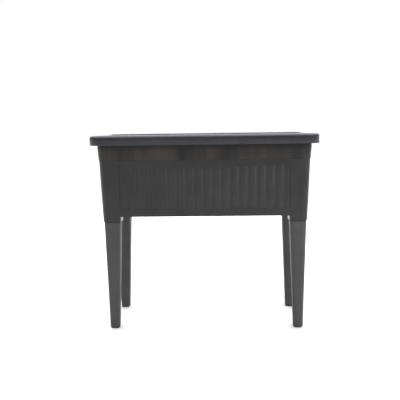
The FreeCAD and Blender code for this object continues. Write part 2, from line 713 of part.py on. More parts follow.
sub_parts = [make_tub()]
for corner in CORNERS:
    sub_parts += [make_leg(corner), make_foot_cap(corner)]
sub_parts += [make_drainage_grid(), make_drain_plug(), make_plug_seal()]
doc.recompute()

for item in doc.Objects:
    if "Invalid" in item.State or "Error" in item.State:
        raise RuntimeError(f"{item.Name} failed: {item.State}")

os.makedirs("parts", exist_ok=True)
for sub_part in sub_parts:
    if sub_part.Shape.isNull() or not sub_part.Shape.isValid():
        raise RuntimeError(f"{sub_part.Label} has no valid shape")
    if len(sub_part.Shape.Solids) != 1:
        raise RuntimeError(f"{sub_part.Label} is not one solid")
    sub_part.Shape.exportStep(f"parts/{sub_part.Label}.step")
    box = sub_part.Shape.BoundBox
    print(f"{sub_part.Label}: {sub_part.Shape.Volume / 1000:.1f} cm3, "
          f"x {box.XMin:.1f} to {box.XMax:.1f}, y {box.YMin:.1f} to {box.YMax:.1f}, "
          f"z {box.ZMin:.1f} to {box.ZMax:.1f}")
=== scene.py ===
# Raised planter: a reeded tub on four tapered legs, with a drainage grid and a drain plug.
# Metres. +X is right along the length, -Y is the front, +Z is up, the origin is on the ground.
import math

import bmesh
import bpy
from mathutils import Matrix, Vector


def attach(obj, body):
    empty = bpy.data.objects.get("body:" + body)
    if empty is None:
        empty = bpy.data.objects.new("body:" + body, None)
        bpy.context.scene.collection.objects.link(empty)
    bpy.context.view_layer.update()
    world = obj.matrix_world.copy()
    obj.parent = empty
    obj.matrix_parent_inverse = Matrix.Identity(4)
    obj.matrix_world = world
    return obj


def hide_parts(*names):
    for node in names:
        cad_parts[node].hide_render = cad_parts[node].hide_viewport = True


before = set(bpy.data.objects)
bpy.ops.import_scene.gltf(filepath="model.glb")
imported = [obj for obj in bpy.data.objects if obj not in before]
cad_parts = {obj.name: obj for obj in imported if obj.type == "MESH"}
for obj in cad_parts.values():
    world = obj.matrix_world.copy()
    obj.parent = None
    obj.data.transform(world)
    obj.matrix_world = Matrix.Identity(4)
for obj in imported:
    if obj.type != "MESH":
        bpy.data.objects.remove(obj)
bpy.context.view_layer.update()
print("frame loaded")


def mm(value):
    return value / 1000


# Camera

camera = {"place": (0.0402, -2.0673, 0.6834), "turn": (82.785, 0.774, 1.55), "lens": 53.08}
bpy.ops.object.camera_add(location=camera["place"],
                          rotation=[math.radians(angle) for angle in camera["turn"]])
bpy.context.object.data.lens = camera["lens"]
bpy.context.scene.camera = bpy.context.object
print("camera placed")


# Materials

# SRGB hex to linear RGBA.
def linear(hexColour):
    parts = [int(hexColour[i:i + 2], 16) / 255 for i in (1, 3, 5)]
    return [c / 12.92 if c <= 0.04045 else ((c + 0.055) / 1.055) ** 2.4 for c in parts] + [1]


# Add a node; settings go to its properties or sockets, links feed its sockets.
def addNode(tree, kind, settings=None, links=None):
    node = tree.nodes.new(kind)
    for name, value in (settings or {}).items():
        if hasattr(node, name):
            setattr(node, name, value)
        else:
            node.inputs[name].default_value = value
    for name, source in (links or {}).items():
        tree.links.new(source, node.inputs[name])
    return node


noiseRange = (0.3, 0.7)  # where nearly all of a noise texture's values lie


def newMaterial(name):
    material = bpy.data.materials.new(name)
    material.use_nodes = True
    material.node_tree.nodes.clear()
    return material, material.node_tree


# Injection moulded plastic. The mould's surface leaves a fine grain that breaks up the gloss, and
# the melt leaves soft marks in the colour as it flows; on the band those marks are warm painted
# reflections instead. Sizes and depths are in mm; the real grain is about 0.3 mm, too fine to show,
# so it is drawn coarser. A look may also paint a shadow: a darker colour between two heights.
def mouldedPlastic(name, look):
    material, tree = newMaterial(name)
    coordinates = addNode(tree, "ShaderNodeTexCoord").outputs["Object"]
    grainPlace = addNode(tree, "ShaderNodeMapping", {"Scale": look["grainStretch"]},
                         {"Vector": coordinates}).outputs["Vector"]
    grain = addNode(tree, "ShaderNodeTexNoise",
                    {"Scale": 1 / mm(look["grainSize"]), "Detail": 3, "Roughness": 0.6},
                    {"Vector": grainPlace}).outputs["Fac"]
    flowAndReflectionPlace = addNode(tree, "ShaderNodeMapping", {"Scale": look["flowAndReflectionStretch"]},
                        {"Vector": coordinates}).outputs["Vector"]
    flowAndReflection = addNode(tree, "ShaderNodeTexNoise",
                   {"Scale": 1 / mm(look["flowAndReflectionSize"]), "Detail": 2, "Roughness": 0.5},
                   {"Vector": flowAndReflectionPlace}).outputs["Fac"]
    colour = addNode(tree, "ShaderNodeValToRGB", links={"Fac": flowAndReflection})
    for element, place, tone in zip(colour.color_ramp.elements, noiseRange, ("dark", "light")):
        element.position = place
        element.color = linear(look[tone])
    tint = colour.outputs["Color"]
    if "paintedShadowHeights" in look:  # painted shadow: the colour darkens between two heights, under the overhanging rim
        height = addNode(tree, "ShaderNodeSeparateXYZ", links={"Vector": coordinates}).outputs["Z"]
        depth = addNode(tree, "ShaderNodeMapRange",
                        {"From Min": mm(look["paintedShadowHeights"][0]), "From Max": mm(look["paintedShadowHeights"][1])},
                        {"Value": height}).outputs["Result"]
        mix = addNode(tree, "ShaderNodeMix", {"data_type": "RGBA"})  # colours: inputs 6, 7, output 2
        tree.links.new(depth, mix.inputs[0])
        tree.links.new(tint, mix.inputs[6])
        mix.inputs[7].default_value = linear(look["paintedShadowColour"])
        tint = mix.outputs[2]
    rough = addNode(tree, "ShaderNodeMapRange",
                    {"From Min": noiseRange[0], "From Max": noiseRange[1],
                     "To Min": look["smooth"], "To Max": look["rough"]},
                    {"Value": grain}).outputs["Result"]
    fine = addNode(tree, "ShaderNodeBump",
                   {"Strength": look["grainBump"], "Distance": mm(look["grainDepth"])},
                   {"Height": grain}).outputs["Normal"]
    wavy = addNode(tree, "ShaderNodeBump",
                   {"Strength": look["flowBump"], "Distance": mm(look["flowDepth"])},
                   {"Height": flowAndReflection, "Normal": fine}).outputs["Normal"]
    shader = addNode(tree, "ShaderNodeBsdfPrincipled",
                     {"IOR": look["ior"], "Specular IOR Level": look["specular"]},
                     {"Base Color": tint, "Roughness": rough, "Normal": wavy})
    addNode(tree, "ShaderNodeOutputMaterial", links={"Surface": shader.outputs["BSDF"]})
    return material


# Tub: polypropylene from a polished mould, a satin charcoal with a faint orange peel
tubLook = {"dark": "#18181a", "light": "#202022", "grainSize": 1.6, "grainStretch": (1, 1, 1),
           "grainBump": 0.25, "grainDepth": 0.05, "flowAndReflectionSize": 70, "flowAndReflectionStretch": (1, 1, 1),
           "flowBump": 0.4, "flowDepth": 0.8, "smooth": 0.26, "rough": 0.36, "ior": 1.49,
           "specular": 0.4}
# Band under the rim: the same plastic, polished glossier; its dark and warm upright streaks are
# painted reflections of the room, and the darkest strip at its top is a painted shadow under the rim
bandPaintedLightLook = dict(tubLook, dark="#0e0e10", light="#342f2c", flowAndReflectionSize=48, flowAndReflectionStretch=(1, 1, 0.1),
                flowBump=0.6, flowDepth=0.8, smooth=0.14, rough=0.2, specular=0.24,
                paintedShadowHeights=(602, 621), paintedShadowColour="#08080a")
# Rim: the same plastic from a slightly duller mould; its colour is painted lighter and cooler, as
# painted light from above on its face
rimPaintedLightLook = dict(tubLook, dark="#212125", light="#29292d", smooth=0.28, rough=0.38)
# Legs: matt polypropylene drawn from a long mould, a lighter grey with a faint upright grain
legLook = dict(tubLook, dark="#373739", light="#3f3f40", grainStretch=(1, 1, 0.05),
               grainBump=0.4, smooth=0.5, rough=0.65)
# Foot caps: soft polyethylene, dull and darker than the legs
footLook = dict(tubLook, dark="#303032", light="#363638", smooth=0.55, rough=0.7)
# Grid and plug: plain unpolished mouldings, duller than the tub
gridLook = dict(tubLook, dark="#2e2e30", light="#343436", smooth=0.45, rough=0.6)
plugLook = dict(tubLook, dark="#303032", light="#363638", smooth=0.4, rough=0.55)
# Seal: moulded rubber, nearly black, with no gloss
sealLook = dict(tubLook, dark="#1a1a1a", light="#202020", smooth=0.6, rough=0.75)

tubPlastic = mouldedPlastic("satinMouldedPolypropylene", tubLook)
rimPaintedLightPlastic = mouldedPlastic("rimPaintedLighterPolypropylene", rimPaintedLightLook)
bandPaintedLightPlastic = mouldedPlastic("glossPolypropyleneWithPaintedShadowAndReflections", bandPaintedLightLook)
legPlastic = mouldedPlastic("matteMouldedPolypropylene", legLook)
footPlastic = mouldedPlastic("footPolyethylene", footLook)
gridPlastic = mouldedPlastic("gridPolypropylene", gridLook)
plugPlastic = mouldedPlastic("plugPolyethylene", plugLook)
sealRubber = mouldedPlastic("sealRubber", sealLook)
# The drainage grid, the plug and its seal keep the shape they come with
finishes = {"tub": tubPlastic, "leg": legPlastic, "foot_cap": footPlastic,
            "drainage_grid": gridPlastic, "drain_plug": plugPlastic, "plug_seal": sealRubber}
for nodeName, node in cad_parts.items():
    for start, finish in finishes.items():
        if nodeName.startswith(start):
            node.material_slots[0].material = finish
print("materials made")


# Shaping helpers: an outline is drawn, grown level by level and closed, all in edit mode

def enterEdit(piece):
    bpy.ops.object.select_all(action="DESELECT")
    piece.select_set(True)
    bpy.context.view_layer.objects.active = piece
    bpy.ops.object.mode_set(mode="EDIT")
    bpy.ops.mesh.select_mode(type="VERT")


def leaveEdit():
    bpy.ops.object.mode_set(mode="OBJECT")


# Select the vertices of the piece in edit mode that pass the test.
def pick(test):
    data = bpy.context.edit_object.data
    bpy.ops.mesh.select_all(action="DESELECT")
    shape = bmesh.from_edit_mesh(data)
    for vertex in shape.verts:
        vertex.select = test(vertex.co)
    shape.select_flush_mode()
    bmesh.update_edit_mesh(data)


pointGap = 1e-5  # metres between two points that still count as one
cornerSteps = 8


def near(a, b):
    return abs(a - b) < pointGap


# An empty piece, in edit mode.
def startPiece(name):
    bpy.ops.object.select_all(action="DESELECT")
    bpy.ops.mesh.primitive_plane_add(size=1)
    piece = bpy.context.object
    piece.name = name
    enterEdit(piece)
    bpy.ops.mesh.select_all(action="SELECT")
    bpy.ops.mesh.delete(type="VERT")
    return piece


# Centre and radius of the four corner arcs, from the low left one round to the high left.
def cornerArcs(outline):
    left, right, low, high = (mm(side) for side in outline["sides"])
    a, b, c, d = (mm(radius) for radius in outline["radii"])
    return [(left + a, low + a, a), (right - b, low + b, b),
            (right - c, high - c, c), (left + d, high - d, d)]


def cornerOf(point, outline):
    left, right, low, high = (mm(side) for side in outline["sides"])
    toRight, toHigh = point.x > (left + right) / 2, point.y > (low + high) / 2
    return (2 if toRight else 3) if toHigh else (1 if toRight else 0)


# Every point of an outline lies on one of its corner arcs.
def onOutline(point, outline):
    arcX, arcY, radius = cornerArcs(outline)[cornerOf(point, outline)]
    return (near(point.z, mm(outline["height"]))
            and near(math.hypot(point.x - arcX, point.y - arcY), radius))


# A rounded rectangle as a loop of edges, in mm: sides are left, right, low and high, radii start
# at the low left corner.
def drawOutline(sides, radii, height):
    outline = {"sides": sides, "radii": radii, "height": height}
    left, right, low, high = (mm(side) for side in sides)
    middle = ((left + right) / 2, (low + high) / 2, mm(height))
    bpy.ops.mesh.select_all(action="DESELECT")
    bpy.ops.mesh.primitive_plane_add(size=1, location=middle)
    bpy.ops.transform.resize(value=(right - left, high - low, 1), center_override=middle)
    for cornerX, cornerY, radius in zip((left, right, right, left), (low, low, high, high), radii):
        pick(lambda point: near(point.x, cornerX) and near(point.y, cornerY)
             and near(point.z, middle[2]))
        bpy.ops.mesh.bevel(offset=mm(radius), segments=cornerSteps, affect="VERTICES")
    pick(lambda point: onOutline(point, outline))
    bpy.ops.mesh.delete(type="ONLY_FACE")
    return outline


# Extrude the outline, and take each corner arc of the new edges to its new place.
def growOutline(outline, sides, radii, height):
    grown = {"sides": sides, "radii": radii, "height": height}
    pick(lambda point: onOutline(point, outline))
    bpy.ops.mesh.extrude_region_move()
    shape = bmesh.from_edit_mesh(bpy.context.edit_object.data)
    edgePoints = [vertex for vertex in shape.verts if vertex.select]
    corners = [[v for v in edgePoints if cornerOf(v.co, outline) == corner] for corner in range(4)]
    rise = mm(height - outline["height"])
    for points, old, new in zip(corners, cornerArcs(outline), cornerArcs(grown)):
        bpy.ops.mesh.select_all(action="DESELECT")
        for vertex in points:
            vertex.select = True
        shape.select_flush_mode()
        stretch = new[2] / old[2]
        bpy.ops.transform.resize(value=(stretch, stretch, 1), center_override=(*old[:2], 0))
        bpy.ops.transform.translate(value=(new[0] - old[0], new[1] - old[1], rise))
    return grown


# Grow one outline through the levels of (sides, radii, height), and close both ends.
def skinOver(levels):
    first = last = drawOutline(*levels[0])
    for level in levels[1:]:
        last = growOutline(last, *level)
    for end in (first, last):
        pick(lambda point: onOutline(point, end))
        bpy.ops.mesh.edge_face_add()
    bpy.ops.mesh.select_all(action="SELECT")
    bpy.ops.mesh.normals_make_consistent(inside=False)
    leaveEdit()


def centred(halfX, halfY, radius, height):
    return (-halfX, halfX, -halfY, halfY), (radius,) * 4, height


# Cut the tool out of the piece, or merge it in with UNION.
def cut(piece, tool, operation="DIFFERENCE"):
    bpy.ops.object.select_all(action="DESELECT")
    bpy.context.view_layer.objects.active = piece
    boolean = piece.modifiers.new("cut", "BOOLEAN")
    boolean.operation = operation
    boolean.object = tool
    boolean.solver = "EXACT"
    bpy.ops.object.modifier_apply(modifier="cut")
    bpy.data.objects.remove(tool)


# Tub: outer wall with a ledge, a rolled rim, the cavity and the underside

tubShape = {
    # half length, half width, corner radius and height
    "mouth": (339.5, 147.0, 22, 369), "ledge": (346.8, 154.3, 26, 572),
    "bandFoot": (348.3, 155.8, 27.5, 572), "bandTop": (352.5, 160, 31.7, 651.5),
    "cavityLedge": (342.4, 149.9, 21.6, 572), "floor": (336.2, 143.7, 17.8, 399),
    # half length, half width and corner radius
    "lipInside": (371.5, 179, 46.5), "rim": (375, 182.5, 50), "cavityTop": (348.1, 155.6, 21.6),
    "skirt": (335.7, 143.2, 17.6),
    # heights
    "edgeHeight": 386, "underFloor": 395, "bandTopHeight": 622, "rimHeight": (622, 655),
    "deckCrown": 0.5, "ledgeDrop": 0.3,
    # roundings, and how far a softened edge's middle points stand off
    "rimRound": 10, "cavityRound": 3, "floorBend": 8, "channelCorner": 1.5, "rimLanding": 1,
    "edgeSoftening": 0.7, "bandCurve": 0.2, "edgeCurve": 0.3, "rimSteps": 6, "bendSteps": 4,
    # openings between the sockets, wall angle in degrees, and the merging of doubled points
    "gapHalf": (278.3, 85.8), "gapReach": 400, "gapOverrun": 5, "draft": 2.05, "mergeGap": 0.01,
    # how far a finish reaches past its zone's heights, and how far its sides stand off
    "zoneMargin": (0.1, 1),
}


# Sine and cosine over a quarter turn.
def quarterSteps(count):
    return [(math.sin(a), math.cos(a)) for a in
            (math.pi / 2 * step / count for step in range(1, count))]


# From under the floor, down round the mouth, up the outside, over the rim and down the inside.
def makeShell(shape):
    shell = startPiece("tubShell")
    soft, curve, crown = shape["edgeSoftening"], shape["edgeCurve"], shape["deckCrown"]
    corner, lipLow, top = shape["channelCorner"], *shape["rimHeight"]
    outlines = [centred(*shape["skirt"], shape["underFloor"]),
                centred(*shape["skirt"], shape["mouth"][3]), centred(*shape["mouth"])]

    def addLevel(x, y, r, height, outwards=0):
        outlines.append(centred(x + outwards, y + outwards, r + outwards, height))

    x, y, r, z = shape["ledge"]
    addLevel(x, y, r, z - shape["ledgeDrop"])
    x, y, r, z = shape["bandFoot"]
    addLevel(x, y, r, z, -soft)
    addLevel(x, y, r, z + curve * soft, -shape["bandCurve"] * soft)
    addLevel(x, y, r, z + soft)
    x, y, r, deck = shape["bandTop"]
    addLevel(x, y, r, shape["bandTopHeight"])
    addLevel(x, y, r, deck - corner)
    addLevel(x, y, r, deck - crown, corner)
    x, y, r = shape["lipInside"]
    addLevel(x, y, r, deck, -corner)
    addLevel(x, y, r, deck - corner)
    addLevel(x, y, r, lipLow + soft)
    addLevel(x, y, r, lipLow, curve * soft)
    x, y, r = shape["rim"]
    addLevel(x, y, r, lipLow, -soft)
    addLevel(x, y, r, lipLow + curve * soft, -curve * soft)
    addLevel(x, y, r, lipLow + soft)
    bend = shape["rimRound"]
    addLevel(x, y, r, top - bend)
    for sine, cosine in quarterSteps(shape["rimSteps"]):
        addLevel(x, y, r, top - bend * (1 - sine), -bend * (1 - cosine))
    addLevel(x, y, r, top, -bend - shape["rimLanding"])
    x, y, r = shape["cavityTop"]
    bend = shape["cavityRound"]
    addLevel(x, y, r, top - crown, bend)
    for sine, cosine in quarterSteps(shape["bendSteps"]):
        addLevel(x, y, r, top - crown - bend * (1 - cosine), bend * (1 - sine))
    addLevel(x, y, r, top - bend)
    addLevel(x, y, r, lipLow)
    outlines.append(centred(*shape["cavityLedge"]))
    x, y, r, low = shape["floor"]
    bend = shape["floorBend"]
    addLevel(x, y, r, low + bend)
    for sine, cosine in quarterSteps(shape["bendSteps"]):
        addLevel(x, y, r, low + bend * (1 - sine), -bend * (1 - cosine))
    addLevel(x, y, r, low, -bend)
    skinOver(outlines)
    return shell


# A box between two corners, in mm.
def block(name, low, high):
    middle = [mm((a + b) / 2) for a, b in zip(low, high)]
    size = [mm(b - a) for a, b in zip(low, high)]
    bpy.ops.object.select_all(action="DESELECT")
    bpy.ops.mesh.primitive_cube_add(size=1, location=middle)
    piece = bpy.context.object
    piece.name = name
    piece.scale = size
    bpy.ops.object.transform_apply(location=True, rotation=True, scale=True)
    return piece


tub = makeShell(tubShape)


# Open the wall between the sockets.
def cutGaps(tub, shape):
    low, high = shape["mouth"][3] - shape["gapOverrun"], shape["edgeHeight"]
    (gapX, gapY), reach = shape["gapHalf"], shape["gapReach"]
    cut(tub, block("frontGap", (-gapX, -reach, low), (gapX, reach, high)))
    cut(tub, block("endGap", (-reach, -gapY, low), (reach, gapY, high)))


cutGaps(tub, tubShape)


# Sockets: a rounded sleeve at each corner, closed at the top, that takes the leg's spigot

socketShape = {
    "mouthHeight": 369, "roofTop": 444, "hollowTop": 440, "outside": (278.3, 338.3, 85.8, 145.8),
    "outsideRadii": (10.9, 10.9, 19.7, 10.9), "hollow": (280.9, 336.9, 88.4, 144.4),
    "hollowRadii": (8.3, 8.3, 18.3, 8.3), "taper": 0.8, "roofSoftening": 1.2, "roofCurve": 0.3,
    "hollowOverrun": 2,
}


def inset(sides, radii, amount):
    left, right, low, high = sides
    return ((left + amount, right - amount, low + amount, high - amount),
            tuple(radius - amount for radius in radii))


# Rounded boxes of (sides, radii, height), skinned from the first to the last.
def makePrism(name, levels):
    prism = startPiece(name)
    skinOver(levels)
    return prism


# Mirror the rear right piece to the other three corners, all in one mesh.
def atFourCorners(piece):
    bpy.ops.object.select_all(action="DESELECT")
    piece.select_set(True)
    bpy.context.view_layer.objects.active = piece
    for axis in (0, 1):
        mirror = piece.modifiers.new("mirror", "MIRROR")
        mirror.use_axis = [axis == side for side in range(3)]
        mirror.use_mirror_merge = False
        bpy.ops.object.modifier_apply(modifier="mirror")
    return piece


def makeSockets(shape):
    roof, soft, curve = shape["roofTop"], shape["roofSoftening"], shape["roofCurve"]
    sides, radii = shape["outside"], shape["outsideRadii"]
    levels = [(sides, radii, shape["mouthHeight"]), (sides, radii, roof - soft),
              (*inset(sides, radii, soft * curve), roof - soft * curve),
              (*inset(sides, radii, soft), roof)]
    return atFourCorners(makePrism("sockets", levels))


def makeHollows(shape):
    sides, radii = shape["hollow"], shape["hollowRadii"]
    mouth, top = shape["mouthHeight"], shape["hollowTop"]
    levels = [(sides, radii, mouth - shape["hollowOverrun"]), (sides, radii, mouth),
              (*inset(sides, radii, shape["taper"]), top)]
    return atFourCorners(makePrism("hollows", levels))


cut(tub, makeSockets(socketShape), "UNION")
cut(tub, makeHollows(socketShape))


# Drain: a boss below the floor with the outlet through it

drainShape = {"outlet": 12, "boss": 20, "bossHeight": (388, 396), "outletHeight": (380, 405),
              "sides": 48}


def cylinder(name, radius, low, high, sides):
    bpy.ops.object.select_all(action="DESELECT")
    bpy.ops.mesh.primitive_cylinder_add(vertices=sides, radius=mm(radius), depth=mm(high - low),
                                        location=(0, 0, mm((low + high) / 2)))
    piece = bpy.context.object
    piece.name = name
    bpy.ops.object.transform_apply(location=True, rotation=True, scale=True)
    return piece


cut(tub, cylinder("boss", drainShape["boss"], *drainShape["bossHeight"], drainShape["sides"]),
    "UNION")
cut(tub, cylinder("outlet", drainShape["outlet"], *drainShape["outletHeight"],
                  drainShape["sides"]))


# Ribs under the floor

# Places and reach of the ribs across, then of those along
ribShape = {"thickness": 3, "low": 388, "high": 395.4, "softening": 0.6, "softSteps": 2,
            "places": ([279.8, 167.88, 55.96], [87.3, 29.1]), "reach": (143.4, 335.9)}


def copyOf(piece, name):
    twin = piece.copy()
    twin.data = piece.data.copy()
    twin.name = name
    bpy.context.collection.objects.link(twin)
    return twin


def joinAll(pieces, name):
    bpy.ops.object.select_all(action="DESELECT")
    for piece in pieces:
        piece.select_set(True)
    bpy.context.view_layer.objects.active = pieces[0]
    bpy.ops.object.join()
    pieces[0].name = name
    return pieces[0]


def makeRibs(shape, axis):
    half, reach = shape["thickness"] / 2, shape["reach"][axis]
    sides = (half, reach) if axis == 0 else (reach, half)
    rib = block("rib", (-sides[0], -sides[1], shape["low"]), (*sides, shape["high"]))
    enterEdit(rib)
    pick(lambda point: near(point.z, mm(shape["low"])))
    bpy.ops.mesh.bevel(offset=mm(shape["softening"]), segments=shape["softSteps"], affect="EDGES")
    leaveEdit()
    ribs = []
    for place in shape["places"][axis]:
        for side in (-1, 1):
            twin = copyOf(rib, "rib")
            twin.location[axis] = mm(side * place)
            ribs.append(twin)
    bpy.data.objects.remove(rib)
    ribs = joinAll(ribs, "ribs")
    bpy.ops.object.transform_apply(location=True, rotation=True, scale=True)
    return ribs


for axis in (0, 1):
    cut(tub, makeRibs(ribShape, axis), "UNION")
print("tub shell made")


# Reeds: each side has a shallow panel whose top sags, filled with rounded upright reeds

reedShape = {"base": 23, "relief": 2.6, "setback": 0.2, "sunk": 0.6, "steps": 8, "edgeSlope": 6,
             "endSlope": 0.5, "toolOverrun": 5, "columnReach": 0.4, "lowEdge": 386,
             "mergeGap": 0.01}
panels = [{"half": 283.1, "reeds": 19, "middle": 160.1, "sag": 12, "columns": 24,
           "distance": 147.6, "turns": (0, 180)},
          {"half": 90.6, "reeds": 6, "middle": 166.1, "sag": 5, "columns": 12,
           "distance": 340.1, "turns": (90, 270)}]


# Divide every edge of the piece in edit mode that runs along X.
def splitAlongX(cuts):
    data = bpy.context.edit_object.data
    bpy.ops.mesh.select_mode(type="EDGE")
    bpy.ops.mesh.select_all(action="DESELECT")
    shape = bmesh.from_edit_mesh(data)
    for edge in shape.edges:
        edge.select = not near(edge.verts[0].co.x, edge.verts[1].co.x)
    bpy.ops.mesh.subdivide(number_cuts=cuts)
    bpy.ops.mesh.select_mode(type="VERT")


# Cuts the shallow panel; its top edge dips by the sag in the middle.
def makePanelTool(panel, shape):
    half, depth = panel["half"], shape["relief"] + shape["setback"]
    top, slope = panel["middle"] + panel["sag"], shape["edgeSlope"]
    tool = block("panelTool", (-half, -shape["toolOverrun"], shape["base"]), (half, depth, top))
    enterEdit(tool)
    pick(lambda point: near(point.y, mm(depth)))
    middle = (0, mm(depth), mm((shape["base"] + top) / 2))
    shrink = (1 - slope / half, 1, 1 - shape["endSlope"] * slope / (top - shape["base"]))
    bpy.ops.transform.resize(value=shrink, center_override=middle)
    splitAlongX(panel["columns"] - 1)
    for column in range(panel["columns"] + 1):
        share = 2 * column / panel["columns"] - 1
        pick(lambda point: point.z > mm(top - 2 * slope)
             and abs(point.x / mm(half) - share) < shape["columnReach"] / panel["columns"])
        bpy.ops.transform.translate(value=(0, 0, -mm(panel["sag"]) * (1 - share ** 2)))
    leaveEdit()
    return tool


# One reed with a rounded face, repeated along the panel.
def makeReeds(panel, shape):
    pitch = 2 * panel["half"] / panel["reeds"]
    half, relief = pitch / 2, shape["relief"]
    radius = (half ** 2 + relief ** 2) / (2 * relief)
    valley = relief + shape["setback"]
    top = panel["middle"] + panel["sag"] + shape["relief"]
    reeds = block("reeds", (-half, valley, shape["base"] - shape["sunk"]),
                  (half, valley + shape["sunk"], top))
    enterEdit(reeds)
    splitAlongX(shape["steps"] - 1)
    for step in range(1, shape["steps"]):
        across = half * (2 * step / shape["steps"] - 1)
        rise = math.sqrt(radius ** 2 - across ** 2) - (radius - relief)
        pick(lambda point: near(point.y, mm(valley)) and near(point.x, mm(across)))
        bpy.ops.transform.translate(value=(0, -mm(rise), 0))
    for side in (-half, half):
        pick(lambda point: near(point.x, mm(side)))
        bpy.ops.mesh.delete(type="ONLY_FACE")
    pick(lambda point: True)
    bpy.ops.transform.translate(value=(mm(half - panel["half"]), 0, 0))
    leaveEdit()
    row = reeds.modifiers.new("row", "ARRAY")
    row.count = panel["reeds"]
    row.use_relative_offset = False
    row.use_constant_offset = True
    row.constant_offset_displace = (mm(pitch), 0, 0)
    row.use_merge_vertices = True
    row.merge_threshold = mm(shape["mergeGap"])
    bpy.context.view_layer.objects.active = reeds
    bpy.ops.object.modifier_apply(modifier="row")
    enterEdit(reeds)
    bpy.ops.mesh.select_all(action="DESELECT")
    bpy.ops.mesh.select_non_manifold()
    bpy.ops.mesh.fill_holes(sides=0)
    bpy.ops.mesh.select_all(action="SELECT")
    bpy.ops.mesh.normals_make_consistent(inside=False)
    leaveEdit()
    return reeds


# Lean the piece with the wall, and stand a copy on both sides that share its panel.
def placeOnSides(piece, panel, shape, draft):
    placed = []
    for turn in panel["turns"]:
        twin = copyOf(piece, piece.name)
        angle = math.radians(turn)
        distance = mm(panel["distance"])
        twin.rotation_euler = (math.radians(draft), 0, angle)
        twin.location = (distance * math.sin(angle), -distance * math.cos(angle),
                         mm(shape["lowEdge"]))
        placed.append(twin)
    bpy.data.objects.remove(piece)
    return placed


def overSides(make):
    pieces = []
    for panel in panels:
        pieces += placeOnSides(make(panel, reedShape), panel, reedShape, tubShape["draft"])
    whole = joinAll(pieces, "overSides")
    bpy.ops.object.transform_apply(location=True, rotation=True, scale=True)
    return whole


# Merge the points that the cuts left on top of each other.
def mergePoints(piece, gap):
    enterEdit(piece)
    bpy.ops.mesh.select_all(action="SELECT")
    bpy.ops.mesh.remove_doubles(threshold=mm(gap))
    bpy.ops.mesh.dissolve_degenerate(threshold=mm(gap))
    leaveEdit()


cut(tub, overSides(makePanelTool))
cut(tub, overSides(makeReeds), "UNION")
mergePoints(tub, tubShape["mergeGap"])
print("reeds made")


# Legs: a tapered leg with an outer corner rounder than the rest, and its plain spigot

legShape = {"footCentre": (311.33, 118.83), "footHalf": 16, "outerLean": 9.3, "innerLean": 14.1,
            "footRadii": (9, 12), "mouthRadii": (8, 18), "mouth": 369, "capTop": 7,
            "spigotTop": 440, "spigotTaper": 0.8, "spigotInset": 0.1, "spigotChamfer": 1,
            "softening": 0.5, "shoulderBevel": 2.4, "shoulderStep": 0.2}


# Sides and radii of the rear right leg at a height, drawn in by an amount.
def legSection(shape, height, amount=0):
    rise = min(height / shape["mouth"], 1)
    outer = shape["footHalf"] + shape["outerLean"] * rise - amount
    inner = shape["footHalf"] + shape["innerLean"] * rise - amount
    plain, outside = (foot + (mouth - foot) * rise - amount
                      for foot, mouth in zip(shape["footRadii"], shape["mouthRadii"]))
    x, y = shape["footCentre"]
    return (x - inner, x + outer, y - inner, y + outer), (plain, plain, outside, plain)


def makeLeg(shape):
    soft, low, mouth, top = (shape[key] for key in ("softening", "capTop", "mouth", "spigotTop"))
    taper, chamfer, bevel = shape["spigotTaper"], shape["spigotChamfer"], shape["shoulderBevel"]
    levels = [(*legSection(shape, low, soft), low), (*legSection(shape, low), low + soft),
              (*legSection(shape, mouth - bevel), mouth - bevel),
              (*legSection(shape, mouth, bevel), mouth),
              (*legSection(shape, mouth, bevel), mouth + shape["shoulderStep"]),
              (*legSection(shape, mouth, shape["spigotInset"]), mouth + bevel),
              (*legSection(shape, mouth, taper), top - chamfer),
              (*legSection(shape, mouth, taper + chamfer), top)]
    return makePrism("leg", levels)


capShape = {"height": 7, "edgeRound": 5.5, "roundSteps": 5, "topSoftening": 0.4,
            "stemInset": 3.25, "stemTop": 21, "soleRim": 2.5, "soleEdge": (0.3, 0.2),
            "soleHollow": 0.8, "hollowSlope": 0.6}


# A pad under the leg with a rounded lower edge, a shallow hollow in its sole and a stem.
def makeFootCap(shape):
    top, bend, soft = shape["height"], shape["edgeRound"], shape["topSoftening"]
    edgeWide, edgeHigh = shape["soleEdge"]
    hollow = bend + shape["soleRim"]

    def level(height, amount):
        return (*legSection(legShape, top, amount), height)

    levels = [level(shape["soleHollow"], hollow + shape["hollowSlope"]), level(edgeHigh, hollow),
              level(0, hollow - edgeWide), level(0, bend)]
    levels += [level(bend * (1 - cosine), bend * (1 - sine))
               for sine, cosine in quarterSteps(shape["roundSteps"])]
    levels += [level(bend, 0), level(top - soft, 0), level(top, soft),
               level(top, shape["stemInset"]), level(shape["stemTop"], shape["stemInset"])]
    return makePrism("footCap", levels)


# Copy the rear right piece to the four corners; each copy stands for its CAD node.
def standAtCorners(piece, body, slot, material, nodePrefix, names):
    for corner, signX, signY in (("front_left", -1, -1), ("front_right", 1, -1),
                                 ("rear_left", -1, 1), ("rear_right", 1, 1)):
        twin = copyOf(piece, names + corner.title().replace("_", ""))
        twin.scale = (signX, signY, 1)
        bpy.ops.object.select_all(action="DESELECT")
        twin.select_set(True)
        bpy.context.view_layer.objects.active = twin
        bpy.ops.object.transform_apply(location=True, rotation=True, scale=True)
        enterEdit(twin)
        bpy.ops.mesh.select_all(action="SELECT")
        bpy.ops.mesh.normals_make_consistent(inside=False)
        leaveEdit()
        finishPiece(twin, body, slot, material, nodePrefix + corner)
    bpy.data.objects.remove(piece)


